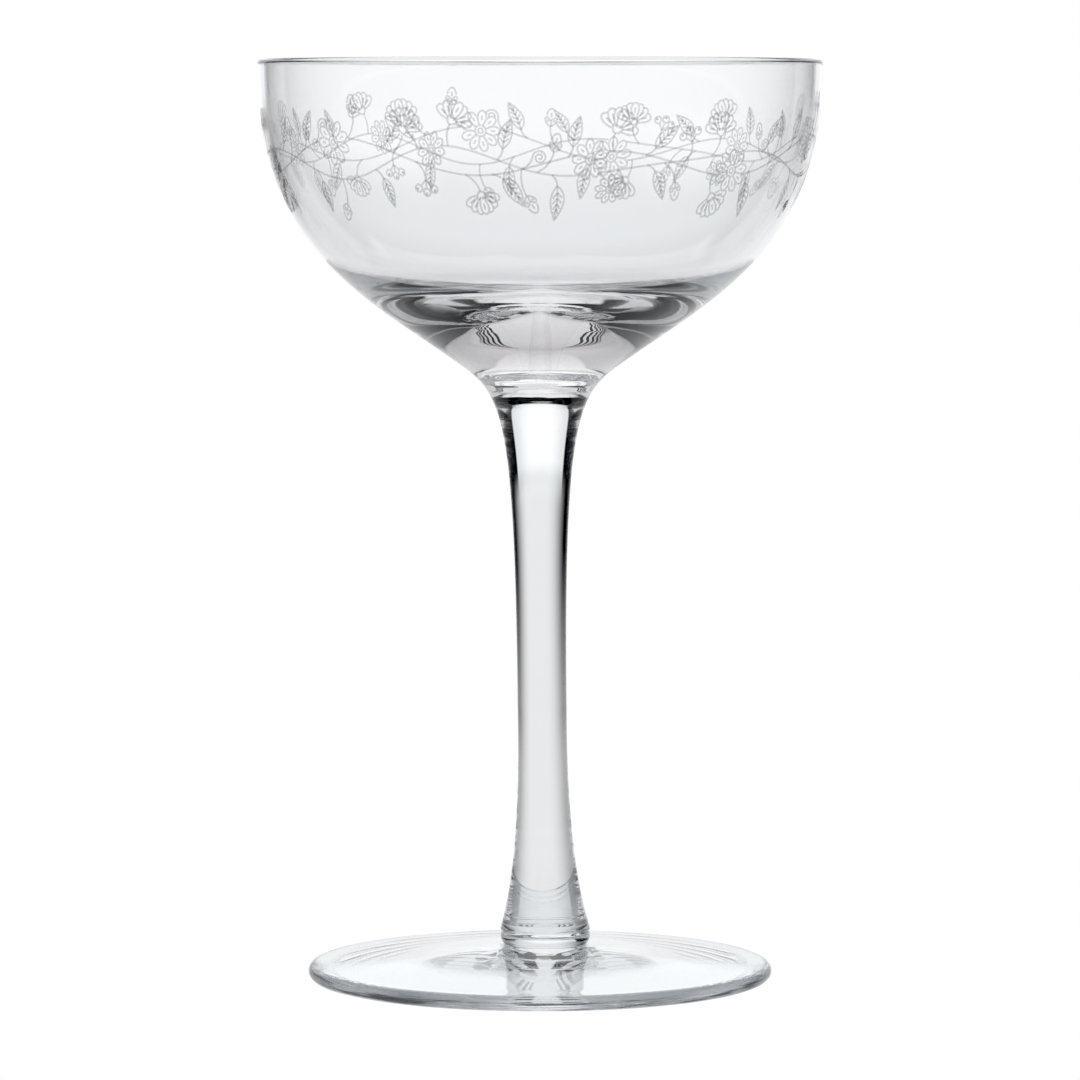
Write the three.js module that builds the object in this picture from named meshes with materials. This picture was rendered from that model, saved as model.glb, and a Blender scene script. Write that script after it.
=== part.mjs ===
// Coupe glass: a blown bowl, a drawn stem and a pressed foot, fused at two flat joints.
// Millimetres, +Z up. The origin is on the ground, at the centre of the foot.

import * as THREE from 'three';

// Heights, from the ground up
const footHeight = 8.2;
const stemLength = 92.8;
const bowlHeight = 54.5;

// Bowl: a thin wall down to the knee, then a round corner and a heavy base under a nearly flat floor
const rimDiameter = 95;
const rimThickness = 1.3;
const baseThickness = 13.4;
const kneeRise = 22;
const kneeThickness = 1.4;
// Reach of the curves that leave the lip straight down, the knee along the wall and the floor level
const outsideRun = 30.3;
const wallShrink = 0.97;
const kneeRun = 11;
const floorRun = 22;

// Shoulder: where the round of the bowl turns into the hollow of the neck
const shoulderRadius = 14.5;
const shoulderRise = 3.9;
const shoulderSlope = 35;
const shoulderRun = 19.7;

// Stem: the neck draws in below the shoulder, narrows to a waist and flares to a base with a rounded edge
const neckRun = 9.5;
const taperDrop = 6.7;
const waistDiameter = 8.3;
const waistRise = 38.3;
const waistRun = 4;
const baseDiameter = 15.2;
const baseRise = 0.4;
const baseSlope = 72.5;
const baseRun = 13;
const footJointDiameter = 14.8;

// Foot: a disc with a rounded edge, a beaded collar under the stem and a hollow underside
const footDiameter = 78.6;
const edgeThickness = 2.7;
const collarBulge = 0.3;
const grooveRadius = 6.95;
const grooveHeight = 5.85;
const hubRadius = 10.2;
const hubHeight = 5.2;
// Slopes in degrees and reaches of the foot's curves, from the groove out to the edge
const filletSlope = 28;
const filletRun = 0.9;
const hubSlope = 8;
const hubRun = 1.5;
const topSlope = 7.6;
const topRun = 12;
const edgeSlope = 2.5;
const edgeRun = 9;
const restWidth = 2.4;
const undersideHollow = 2.5;
const undersideReach = 12;
const undersideSlope = 6;
const undersideRun = 10;

// Fineness of the turned surfaces
const segments = 56;
const outsideSteps = 16;
const neckSteps = 5;
const lipSteps = 6;
const wallSteps = 9;
const floorSteps = 14;
const taperSteps = 15;
const baseSteps = 3;
const flareSteps = 9;
const undersideSteps = 8;
const edgeSteps = 8;
const topSteps = 8;
const hubSteps = 5;
const collarSteps = 5;

// Levels and radii that the pieces share
const rimRadius = rimDiameter / 2;
const footRadius = footDiameter / 2;
const waistRadius = waistDiameter / 2;
const footJoint = footHeight;
const bowlJoint = footJoint + stemLength;
const rimTop = bowlJoint + bowlHeight;
const floorLevel = bowlJoint + baseThickness;
const lipRadius = rimThickness / 2;
const lipLevel = rimTop - lipRadius;

function point(radius, height) {
  return new THREE.Vector2(radius, height);
}

// A point at a distance from another, along a slope in degrees above level
function along(start, slope, distance) {
  const angle = THREE.MathUtils.degToRad(slope);
  return point(start.x + distance * Math.cos(angle), start.y + distance * Math.sin(angle));
}

// A cubic curve from its ends and their handles
function cubic(start, startHandle, endHandle, end) {
  return new THREE.CubicBezierCurve(start, startHandle, endHandle, end);
}

// Points of a curve from one parameter to another, both ends included
function sample(curve, from, to, steps) {
  const points = [];
  for (let i = 0; i <= steps; i += 1) {
    points.push(curve.getPoint(THREE.MathUtils.lerp(from, to, i / steps)));
  }
  return points;
}

// Parameter at which a curve that rises or falls all the way passes a level
function parameterAt(curve, level) {
  const rising = curve.v3.y > curve.v0.y;
  let near = 0;
  let far = 1;
  for (let i = 0; i < 50; i += 1) {
    const middle = (near + far) / 2;
    if (curve.getPoint(middle).y < level === rising) {
      near = middle;
    } else {
      far = middle;
    }
  }
  return (near + far) / 2;
}

// How fast and which way the point of a cubic curve moves at a parameter
function pace(curve, t) {
  const leaving = curve.v1.clone().sub(curve.v0).multiplyScalar(3 * (1 - t) ** 2);
  const middle = curve.v2.clone().sub(curve.v1).multiplyScalar(6 * t * (1 - t));
  const arriving = curve.v3.clone().sub(curve.v2).multiplyScalar(3 * t ** 2);
  return leaving.add(middle).add(arriving);
}

// A round of half a turn, from the point straight below or beside its centre
function halfRound(centre, radius, startAngle, steps) {
  const arc = new THREE.EllipseCurve(centre.x, centre.y, radius, radius, startAngle, startAngle + Math.PI);
  return sample(arc, 0, 1, steps);
}

// A closed solid turned about the axis from an outline that starts and ends on it
function turned(name, outline, material) {
  const apart = outline.filter((p, i) => i === 0 || p.distanceTo(outline[i - 1]) > 1e-4);
  const geometry = new THREE.LatheGeometry(apart, segments);
  geometry.rotateX(Math.PI / 2);
  const mesh = new THREE.Mesh(geometry, material);
  mesh.name = name;
  return mesh;
}

function glass(colour) {
  return new THREE.MeshStandardMaterial({
    color: colour,
    roughness: 0.03,
    metalness: 0,
    transparent: true,
    opacity: 0.35,
  });
}

// The neck line runs from the shoulder of the bowl to the waist of the stem, across the joint
const shoulder = point(shoulderRadius, bowlJoint + shoulderRise);
const waist = point(waistRadius, footJoint + waistRise);
const neckLine = cubic(
  shoulder,
  along(shoulder, shoulderSlope, -neckRun),
  point(waistRadius, shoulder.y - taperDrop),
  waist,
);
const neckJoint = parameterAt(neckLine, bowlJoint);
const bowlJointPoint = point(neckLine.getPoint(neckJoint).x, bowlJoint);
const footJointPoint = point(footJointDiameter / 2, footJoint);

function bowl() {
  const outside = cubic(
    shoulder,
    along(shoulder, shoulderSlope, shoulderRun),
    point(rimRadius, lipLevel - outsideRun),
    point(rimRadius, lipLevel),
  );
  // The wall follows the outside from the lip to the knee
  const kneeAt = parameterAt(outside, bowlJoint + kneeRise);
  const kneePace = pace(outside, kneeAt);
  const rise = kneePace.clone().normalize();
  const knee = outside.getPoint(kneeAt).add(point(-rise.y, rise.x).multiplyScalar(kneeThickness));
  const lip = point(rimRadius - rimThickness, lipLevel);
  const share = wallShrink * (1 - kneeAt);
  const wall = cubic(
    lip,
    point(lip.x, lip.y - share * outsideRun),
    knee.clone().addScaledVector(kneePace, share / 3),
    knee,
  );
  const floor = cubic(
    knee,
    knee.clone().addScaledVector(rise, -kneeRun),
    point(floorRun, floorLevel),
    point(0, floorLevel),
  );
  const outline = [
    point(0, bowlJoint),
    bowlJointPoint,
    ...sample(neckLine, neckJoint, 0, neckSteps).slice(1),
    ...sample(outside, 0, 1, outsideSteps).slice(1),
    ...halfRound(point(rimRadius - lipRadius, lipLevel), lipRadius, 0, lipSteps).slice(1),
    ...sample(wall, 0, 1, wallSteps).slice(1),
    ...sample(floor, 0, 1, floorSteps).slice(1),
  ];
  return turned('bowl', outline, glass('#eef2f4'));
}

function stem() {
  const base = point(baseDiameter / 2, footJoint + baseRise);
  const edge = cubic(
    footJointPoint,
    footJointPoint.clone().lerp(point(base.x, footJoint), 0.7),
    along(base, 180 - baseSlope, -0.6 * baseRise),
    base,
  );
  const flare = cubic(
    base,
    along(base, 180 - baseSlope, baseRun),
    point(waistRadius, waist.y - waistRun),
    waist,
  );
  const outline = [
    point(0, footJoint),
    ...sample(edge, 0, 1, baseSteps),
    ...sample(flare, 0, 1, flareSteps).slice(1),
    ...sample(neckLine, 1, neckJoint, taperSteps).slice(1, -1),
    bowlJointPoint,
    point(0, bowlJoint),
  ];
  return turned('stem', outline, glass('#e4e9ea'));
}

function foot() {
  const edgeRadius = edgeThickness / 2;
  const edgeCentre = point(footRadius - edgeRadius, edgeRadius);
  const rest = point(edgeCentre.x - restWidth, 0);
  const underside = cubic(
    point(0, undersideHollow),
    point(undersideReach, undersideHollow),
    along(rest, 180 - undersideSlope, undersideRun),
    rest,
  );
  const edgeTop = point(edgeCentre.x, edgeThickness);
  const hubRing = point(hubRadius, hubHeight);
  const top = cubic(
    edgeTop,
    along(edgeTop, 180 - edgeSlope, edgeRun),
    along(hubRing, -topSlope, topRun),
    hubRing,
  );
  const groove = point(grooveRadius, grooveHeight);
  const hub = cubic(
    hubRing,
    along(hubRing, 180 - hubSlope, hubRun),
    along(groove, -filletSlope, filletRun),
    groove,
  );
  const beadRadius = footJointPoint.x + collarBulge;
  const third = (footJoint - grooveHeight) / 3;
  const collar = cubic(
    groove,
    point(beadRadius, grooveHeight + third),
    point(beadRadius, footJoint - third),
    footJointPoint,
  );
  const outline = [
    ...sample(underside, 0, 1, undersideSteps),
    ...halfRound(edgeCentre, edgeRadius, -Math.PI / 2, edgeSteps),
    ...sample(top, 0, 1, topSteps).slice(1),
    ...sample(hub, 0, 1, hubSteps).slice(1),
    ...sample(collar, 0, 1, collarSteps).slice(1),
    point(0, footJoint),
  ];
  return turned('foot', outline, glass('#f0f4f6'));
}

const coupe = new THREE.Group();
coupe.add(bowl(), stem(), foot());

export default coupe;
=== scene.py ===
"""Looks of a coupe glass: clear fused glass with an etched garland, on a white light table."""

import cmath
import logging
import math
from dataclasses import dataclass, field
from enum import Enum
from functools import reduce
from typing import Callable, Protocol

import bmesh
import bpy
from mathutils import Matrix, Vector, noise


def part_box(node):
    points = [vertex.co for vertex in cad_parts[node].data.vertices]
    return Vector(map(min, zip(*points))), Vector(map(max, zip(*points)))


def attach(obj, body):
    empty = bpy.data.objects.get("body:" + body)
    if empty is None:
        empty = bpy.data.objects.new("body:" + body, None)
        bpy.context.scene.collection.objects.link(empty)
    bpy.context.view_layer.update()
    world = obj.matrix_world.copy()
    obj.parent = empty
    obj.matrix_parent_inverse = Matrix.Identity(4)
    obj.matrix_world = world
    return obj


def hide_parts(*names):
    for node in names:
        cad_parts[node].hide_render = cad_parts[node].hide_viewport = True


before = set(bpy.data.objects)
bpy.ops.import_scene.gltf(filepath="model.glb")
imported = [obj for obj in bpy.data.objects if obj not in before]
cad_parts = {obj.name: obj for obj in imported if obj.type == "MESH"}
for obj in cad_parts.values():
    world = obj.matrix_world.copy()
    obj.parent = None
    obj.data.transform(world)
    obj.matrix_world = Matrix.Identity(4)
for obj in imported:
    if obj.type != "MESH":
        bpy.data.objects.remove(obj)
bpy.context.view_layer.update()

log = logging.getLogger("coupe")

MM = 0.001
WHITE = (1.0, 1.0, 1.0, 1.0)

Outline = list[Vector]
Stroke = list[complex]
Triple = tuple[float, float, float]
Colour = Triple
Span = tuple[float, float]
Path = Callable[[float], Span]
Thing = bpy.types.Object
Material = bpy.types.Material
Socket = bpy.types.NodeSocket
Sockets = bpy.types.NodeOutputs
Verts = list[bmesh.types.BMVert]
Value = Socket | float | int | bool | tuple[float, ...]


class Body(Enum):
    """Rigid bodies of the glass that a piece can ride on."""

    WHOLE = "root"


class Slot(Enum):
    """Material slots of the record."""

    GLASS = "clear_glass"
    FROST = "etched_frost"


class Shader(Enum):
    """Surfaces that are a single shader."""

    CLEAR = "ShaderNodeBsdfTransparent"
    GLOW = "ShaderNodeEmission"


def place(radius: float, height: float) -> Vector:
    """A point of a turned outline, as radius and height."""
    return Vector((radius, height))


def along(start: Vector, slope: float, distance: float) -> Vector:
    """A point at a distance from another, along a slope in degrees above level, outwards."""
    angle = math.radians(slope)
    return start + distance * Vector((math.cos(angle), math.sin(angle)))


def held(share: float) -> float:
    """A share, held between 0 and 1."""
    return min(max(share, 0.0), 1.0)


def shown(name: str, data: bpy.types.ID) -> Thing:
    """A new object in the scene.

    Args:
        name: Name of the object.
        data: Its mesh, curves or camera.

    Returns:
        The object.
    """
    thing = bpy.data.objects.new(name, data)
    bpy.context.scene.collection.objects.link(thing)
    return thing


def bare(name: str, shader: Shader) -> tuple[Material, bpy.types.Node]:
    """A material of a single shader.

    Args:
        name: Name of the material.
        shader: Kind of surface.

    Returns:
        The material and its shader's node.
    """
    made = bpy.data.materials.new(name)
    made.use_nodes = True
    nodes = made.node_tree.nodes
    nodes.remove(nodes["Principled BSDF"])
    surface = nodes.new(shader.value)
    made.node_tree.links.new(surface.outputs[0], nodes["Material Output"].inputs["Surface"])
    return made, surface


@dataclass(frozen=True)
class Sweep:
    """A cubic curve of a turned outline, held by its ends and their handles."""

    start: Vector
    start_handle: Vector
    end_handle: Vector
    end: Vector
    halvings: int = 50

    def at(self, t: float) -> Vector:
        """A point of the curve.

        Args:
            t: Parameter from 0 to 1.

        Returns:
            The point.
        """
        s = 1.0 - t
        near = s * s * s * self.start + 3.0 * s * s * t * self.start_handle
        far = 3.0 * s * t * t * self.end_handle + t * t * t * self.end
        return near + far

    def points(self, steps: int, first: float = 0.0, last: float = 1.0) -> Outline:
        """Points at even parameters from the first to the last, with both ends."""
        return [self.at(first + (last - first) * i / steps) for i in range(steps + 1)]

    def pace(self, t: float) -> Vector:
        """How fast and which way the point moves.

        Args:
            t: Parameter from 0 to 1.

        Returns:
            The change of the point with the parameter.
        """
        s = 1.0 - t
        near = s * s * (self.start_handle - self.start) + t * t * (self.end - self.end_handle)
        return 3.0 * (near + 2.0 * s * t * (self.end_handle - self.start_handle))

    def parameter_at(self, level: float) -> float:
        """Where a curve that rises or falls all the way passes a level.

        Args:
            level: Height in metres.

        Returns:
            The parameter at that height.
        """
        rising = self.end.y > self.start.y
        near, far = 0.0, 1.0
        for _ in range(self.halvings):
            middle = (near + far) / 2.0
            if (self.at(middle).y < level) == rising:
                near = middle
            else:
                far = middle
        return (near + far) / 2.0


def half_round(centre: Vector, radius: float, start: float, steps: int) -> Outline:
    """Half a turn of a round edge, anticlockwise from an angle in degrees, with both ends."""
    angles = [math.radians(start + 180.0 * i / steps) for i in range(steps + 1)]
    return [centre + radius * Vector((math.cos(a), math.sin(a))) for a in angles]


@dataclass(frozen=True)
class Tint:
    """What is let through at a distance, such as a height in the glass."""

    at: float
    passed: Colour


@dataclass(frozen=True)
class Wiring:
    """Puts nodes into a tree and links them."""

    tree: bpy.types.NodeTree

    def feed(self, socket: Socket, value: Value) -> None:
        """Links a socket to another one, or sets its value.

        Args:
            socket: Input that is fed.
            value: Output that feeds it, or a plain value.
        """
        if isinstance(value, Socket):
            self.tree.links.new(value, socket)
        else:
            socket.default_value = value

    def fill(self, node: bpy.types.Node, **inputs: Value) -> bpy.types.Node:
        """Feeds some of a node's inputs.

        Args:
            node: Node of the tree.
            inputs: What feeds each input, by its name with _ for a space.

        Returns:
            The same node.
        """
        for label, value in inputs.items():
            self.feed(node.inputs[label.replace("_", " ")], value)
        return node

    def node(self, kind: str, **inputs: Value) -> bpy.types.Node:
        """A new node of a kind, with some of its inputs fed."""
        return self.fill(self.tree.nodes.new(kind), **inputs)

    def worked(self, kind: str, operation: str, values: tuple[Value, ...]) -> Sockets:
        """A node for an operation.

        Args:
            kind: Type of the node.
            operation: Name of the operation.
            values: What it works on.

        Returns:
            The node's outputs.
        """
        fresh = self.tree.nodes.new(kind)
        fresh.operation = operation
        for socket, value in zip(fresh.inputs, values):
            self.feed(socket, value)
        return fresh.outputs

    def maths(self, operation: str, *values: Value) -> Socket:
        """An operation on numbers."""
        return self.worked("ShaderNodeMath", operation, values)["Value"]

    def vectors(self, operation: str, *values: Value) -> Socket:
        """An operation on vectors."""
        return self.worked("ShaderNodeVectorMath", operation, values)["Vector"]

    def product(self, *values: Value) -> Socket:
        """Several numbers multiplied."""
        return reduce(lambda first, other: self.maths("MULTIPLY", first, other), values)

    def triple(self, **axes: Value) -> Socket:
        """A vector from its X, Y and Z, each 0 if left out."""
        return self.node("ShaderNodeCombineXYZ", **axes).outputs["Vector"]

    def split(self, vector: Socket) -> Sockets:
        """The X, Y and Z of a vector."""
        return self.node("ShaderNodeSeparateXYZ", Vector=vector).outputs

    def shifted(self, start: Socket, way: Socket, distance: Socket) -> Socket:
        """A point moved a distance along a direction."""
        even = self.triple(X=distance, Y=distance, Z=distance)
        return self.vectors("MULTIPLY_ADD", way, even, start)

    def step(self, value: Socket, zero: float, one: float) -> Socket:
        """A smooth step between two values.

        Args:
            value: What is measured.
            zero: Where the result is 0.
            one: Where the result is 1.

        Returns:
            The socket with the result.
        """
        fresh = self.node("ShaderNodeMapRange", Value=value)
        fresh.interpolation_type = "SMOOTHSTEP"
        self.fill(fresh, From_Min=min(zero, one), From_Max=max(zero, one))
        self.fill(fresh, To_Min=float(zero > one), To_Max=float(zero < one))
        return fresh.outputs["Result"]

    def blend(self, way: str, share: Socket, under: Socket | Colour, over: Socket | Colour) -> Socket:
        """A colour blended over another.

        Args:
            way: Name of the blend.
            share: How much of the blend shows.
            under: Colour below.
            over: Colour above.

        Returns:
            The socket with the blended colour.
        """
        fresh = self.tree.nodes.new("ShaderNodeMix")
        fresh.data_type = "RGBA"
        fresh.blend_type = way
        self.feed(fresh.inputs["Factor"], share)
        for label, colour in (("A", under), ("B", over)):
            plain = not isinstance(colour, Socket)
            self.feed(fresh.inputs[label], (*colour, 1.0) if plain else colour)
        return fresh.outputs["Result"]

    def ramp(self, value: Socket, top: float, stops: tuple[Tint, ...]) -> Socket:
        """A colour that changes with a value.

        Args:
            value: What is measured, from 0 up.
            top: Value at the end of the ramp.
            stops: Colours along the ramp.

        Returns:
            The socket with the colour.
        """
        fresh = self.node("ShaderNodeValToRGB", Fac=self.maths("DIVIDE", value, top))
        marks = fresh.color_ramp.elements
        while len(marks) < len(stops):
            marks.new(1.0)
        for mark, stop in zip(marks, stops):
            mark.position = stop.at / top
            mark.color = (*stop.passed, 1.0)
        return fresh.outputs["Color"]


@dataclass(frozen=True)
class ClearGlass:
    """Fire-polished colourless glass, its tone by height partly its own depth where it is thick and partly
    painted shade, darkest in the bowl's heavy base.
    """

    name: str = "clear_glass"
    ior: float = 1.5
    roughness: float = 0.0
    top: float = 0.16
    # Painted shade in part: the tone falls to its darkest in the bowl's heavy base and is lower at the
    # foot.
    tints_and_painted_shade: tuple[Tint, ...] = (
        Tint(0.0 * MM, (0.870, 0.893, 0.908)),
        Tint(7.0 * MM, (0.870, 0.893, 0.908)),
        Tint(9.0 * MM, (0.900, 0.905, 0.910)),
        Tint(24.0 * MM, (0.955, 0.962, 0.967)),
        Tint(90.0 * MM, (0.960, 0.970, 0.974)),
        Tint(101.0 * MM, (0.940, 0.945, 0.950)),
        Tint(103.5 * MM, (0.890, 0.888, 0.893)),
        Tint(106.5 * MM, (0.560, 0.535, 0.552)),
        Tint(111.0 * MM, (0.600, 0.578, 0.597)),
        Tint(117.0 * MM, (0.930, 0.935, 0.942)),
        Tint(122.0 * MM, (0.980, 0.985, 0.992)),
        Tint(132.0 * MM, (0.992, 0.997, 1.000)),
    )
    ripple_scale: float = 90.0
    ripple_depth: float = 0.01 * MM
    # Painted shade: the dark tone of the streaks at the foot's edge.
    edge_painted_shade: Colour = (0.10, 0.105, 0.11)
    edge_share: float = 0.05
    edge_radii: Span = (38.2 * MM, 38.9 * MM)
    edge_levels: Span = (2.2 * MM, 1.4 * MM)
    streak_scale: float = 50.0
    streak_draw: Triple = (1.0, 1.0, 24.0)
    streak_range: Span = (0.55, 0.63)

    def material(self) -> Material:
        """The shader: clear transmission with a tone by height that holds painted shade, painted dark
        streaks at the foot's edge and a faint ripple.

        Returns:
            The material.
        """
        made = bpy.data.materials.new(self.name)
        made.use_nodes = True
        wiring = Wiring(made.node_tree)
        shader = made.node_tree.nodes["Principled BSDF"]
        wiring.fill(shader, Transmission_Weight=1.0, Roughness=self.roughness, IOR=self.ior)
        where = wiring.node("ShaderNodeTexCoord").outputs["Object"]
        # The tone by height is partly the glass's own depth and partly painted shade.
        tone = wiring.ramp(wiring.split(where)["Z"], self.top, self.tints_and_painted_shade)
        # Painted shade: dark streaks multiplied into the tone at the foot's edge.
        tone = wiring.blend("MULTIPLY", self.edge(wiring, where), tone, self.edge_painted_shade)
        ripple = wiring.node("ShaderNodeTexNoise", Vector=where, Scale=self.ripple_scale, Detail=1.0)
        height = ripple.outputs["Fac"]
        bump = wiring.node("ShaderNodeBump", Height=height, Strength=1.0, Distance=self.ripple_depth)
        wiring.fill(shader, Base_Color=tone, Normal=bump.outputs["Normal"])
        return made

    def edge(self, wiring: Wiring, where: Socket) -> Socket:
        """Painted shade: dark streaks along the foot's edge, where one looks through the whole width of the
        foot.

        Args:
            wiring: Helper for the glass's material.
            where: Place in the glass.

        Returns:
            The socket with the share of the edge's painted shade.
        """
        maths = wiring.maths
        axes = wiring.split(where)
        squares = [maths("MULTIPLY", axes[name], axes[name]) for name in ("X", "Y")]
        out = wiring.step(maths("SQRT", maths("ADD", *squares)), *self.edge_radii)
        low = wiring.step(axes["Z"], *self.edge_levels)
        drawn = wiring.node("ShaderNodeMapping", Vector=where, Scale=self.streak_draw).outputs["Vector"]
        grain = wiring.node("ShaderNodeTexNoise", Vector=drawn, Scale=self.streak_scale, Detail=2.0)
        streak = wiring.step(grain.outputs["Fac"], *self.streak_range)
        share = maths("ADD", maths("MULTIPLY", streak, 1.0 - self.edge_share), self.edge_share)
        return wiring.product(share, out, low)


@dataclass(frozen=True)
class FusedJoint:
    """The melted face between two gathers, where light passes as through one piece."""

    name: str = "fused_joint"

    def material(self) -> Material:
        """The shader: fully transparent."""
        return bare(self.name, Shader.CLEAR)[0]


@dataclass(frozen=True)
class EtchedFrost:
    """A fine matt line that lets part of the light through and scatters the rest."""

    name: str = "etched_frost"
    light_grain: Colour = (0.78, 0.79, 0.80)
    dark_grain: Colour = (0.62, 0.63, 0.64)
    grain_scale: float = 9000.0
    grain_depth: float = 0.02 * MM
    roughness: float = 0.75
    cover: float = 0.15

    def material(self) -> Material:
        """The shader: a matt grey with a fine grain, part seen through.

        Returns:
            The material.
        """
        made = bpy.data.materials.new(self.name)
        made.use_nodes = True
        wiring = Wiring(made.node_tree)
        shader = made.node_tree.nodes["Principled BSDF"]
        wiring.fill(shader, Roughness=self.roughness, Alpha=self.cover)
        where = wiring.node("ShaderNodeTexCoord").outputs["Object"]
        grain = wiring.node("ShaderNodeTexNoise", Vector=where, Scale=self.grain_scale).outputs["Fac"]
        shades = (Tint(0.0, self.dark_grain), Tint(1.0, self.light_grain))
        tone = wiring.ramp(grain, 1.0, shades)
        bump = wiring.node("ShaderNodeBump", Height=grain, Distance=self.grain_depth)
        wiring.fill(shader, Base_Color=tone, Normal=bump.outputs["Normal"])
        return made


@dataclass(frozen=True)
class Levels:
    """Heights and radii that the pieces share, read from the frame."""

    foot_joint: float
    bowl_joint: float
    rim_top: float
    rim_radius: float
    foot_radius: float

    @classmethod
    def from_frame(cls) -> "Levels":
        """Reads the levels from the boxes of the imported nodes.

        Returns:
            The levels.
        """
        stem_low, stem_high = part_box("stem")
        bowl_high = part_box("bowl")[1]
        foot_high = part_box("foot")[1]
        return cls(stem_low.z, stem_high.z, bowl_high.z, bowl_high.x, foot_high.x)


@dataclass(frozen=True)
class Neck:
    """The hollow line from the shoulder of the bowl to the waist of the stem."""

    levels: Levels
    shoulder_radius: float = 14.5 * MM
    shoulder_rise: float = 3.9 * MM
    shoulder_slope: float = 35.0
    neck_run: float = 9.5 * MM
    taper_drop: float = 6.7 * MM
    waist_radius: float = 4.15 * MM
    waist_rise: float = 38.3 * MM

    @property
    def shoulder(self) -> Vector:
        """Where the round of the bowl turns into the hollow of the neck."""
        return place(self.shoulder_radius, self.levels.bowl_joint + self.shoulder_rise)

    @property
    def waist(self) -> Vector:
        """The thinnest place of the stem."""
        return place(self.waist_radius, self.levels.foot_joint + self.waist_rise)

    def line(self) -> Sweep:
        """The curve from the shoulder down to the waist.

        Returns:
            The curve.
        """
        handle = along(self.shoulder, self.shoulder_slope, -self.neck_run)
        low_handle = place(self.waist_radius, self.shoulder.y - self.taper_drop)
        return Sweep(self.shoulder, handle, low_handle, self.waist)


@dataclass
class TurnedPiece:
    """A closed glass solid turned about the upright axis."""

    name: str
    node: str
    levels: Levels
    segments: int = 192
    seam_ripple: float = 0.01 * MM
    seam_reach: float = 1.8 * MM
    seam_wave: float = 1.1 * MM
    seam_drift: float = 3.0
    seam_turn: float = 1.5
    seam_seed: float = 100.0
    slack: float = 0.001 * MM
    joint_facing: float = 0.999

    def outline(self) -> Outline:
        """The outline from the axis round to the axis again."""
        raise NotImplementedError

    def joint_levels(self) -> tuple[float, ...]:
        """Heights of the flat faces that are fused to a neighbour."""
        raise NotImplementedError

    def waver(self, spot: Vector, normal: Vector) -> float:
        """How far a point stands proud of the true turned form: fine rings beside the fused joints.

        Args:
            spot: Point of the true form.
            normal: Outward direction there; not used here.

        Returns:
            The distance along the normal, in metres.
        """
        turn = math.atan2(spot.x, spot.y)
        aside = (self.seam_turn * math.sin(turn), self.seam_turn * math.cos(turn))
        total = 0.0
        for level in self.joint_levels():
            away = spot.z - level
            drift = self.seam_drift * noise.noise(Vector((*aside, self.seam_seed * level)))
            fade = math.exp(-((away / self.seam_reach) ** 2))
            total += self.seam_ripple * fade * math.sin(math.tau * away / self.seam_wave + drift)
        return total

    def lean(self, spot: Vector) -> float:
        """How far a point is off the axis to the right, in metres."""
        return 0.0

    def build(self) -> Thing:
        """Makes the solid and puts it in the place of its CAD node.

        Returns:
            The piece, not yet dressed.
        """
        mesh = bpy.data.meshes.new(self.name)
        work = bmesh.new()
        rings = [self.ring(work, spot) for spot in self.outline()]
        for low, high in zip(rings, rings[1:]):
            self.skin(work, low, high)
        bmesh.ops.recalc_face_normals(work, faces=work.faces)
        self.mark_joints(work)
        work.normal_update()
        shifts = [vert.normal * self.waver(vert.co, vert.normal) for vert in work.verts]
        for vert, shift in zip(work.verts, shifts):
            vert.co += shift + Vector((self.lean(vert.co), 0.0, 0.0))
        work.to_mesh(mesh)
        work.free()
        piece = shown(self.name, mesh)
        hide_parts(self.node)
        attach(piece, Body.WHOLE.value)
        log.info("%s: %d faces", self.name, len(mesh.polygons))
        return piece

    def dress(self, piece: Thing, glass: Material, joint: Material) -> None:
        """Gives the piece its glass, with clear faces at the fused joints.

        Args:
            piece: The built piece.
            glass: Material of the polished surface.
            joint: Material of the fused faces.
        """
        piece.data.materials.append(glass)
        piece.data.materials.append(joint)

    def ring(self, work: bmesh.types.BMesh, spot: Vector) -> Verts:
        """One ring of vertices, or a single one on the axis.

        Args:
            work: Mesh under construction.
            spot: Point of the outline.

        Returns:
            The vertices in order round the axis.
        """
        if spot.x < self.slack:
            return [work.verts.new((0.0, 0.0, spot.y))]
        turns = [2.0 * math.pi * i / self.segments for i in range(self.segments)]
        return [work.verts.new((spot.x * math.sin(a), -spot.x * math.cos(a), spot.y)) for a in turns]

    def skin(self, work: bmesh.types.BMesh, low: Verts, high: Verts) -> None:
        """Faces between two rings.

        Args:
            work: Mesh under construction.
            low: First ring, or a single vertex.
            high: Next ring, or a single vertex.
        """
        count = self.segments
        for i in range(count):
            j = (i + 1) % count
            if len(low) == 1:
                corners = (low[0], high[j], high[i])
            elif len(high) == 1:
                corners = (low[i], low[j], high[0])
            else:
                corners = (low[i], low[j], high[j], high[i])
            face = work.faces.new(corners)
            face.smooth = True

    def mark_joints(self, work: bmesh.types.BMesh) -> None:
        """Gives the fused faces their own material and a crisp border.

        Args:
            work: Mesh under construction.
        """
        for face in work.faces:
            level = face.calc_center_median().z
            flat = abs(face.normal.z) > self.joint_facing
            near = any(abs(level - joint) < self.slack for joint in self.joint_levels())
            face.material_index = int(flat and near)
        for edge in work.edges:
            kinds = {face.material_index for face in edge.link_faces}
            edge.smooth = len(kinds) == 1


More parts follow.
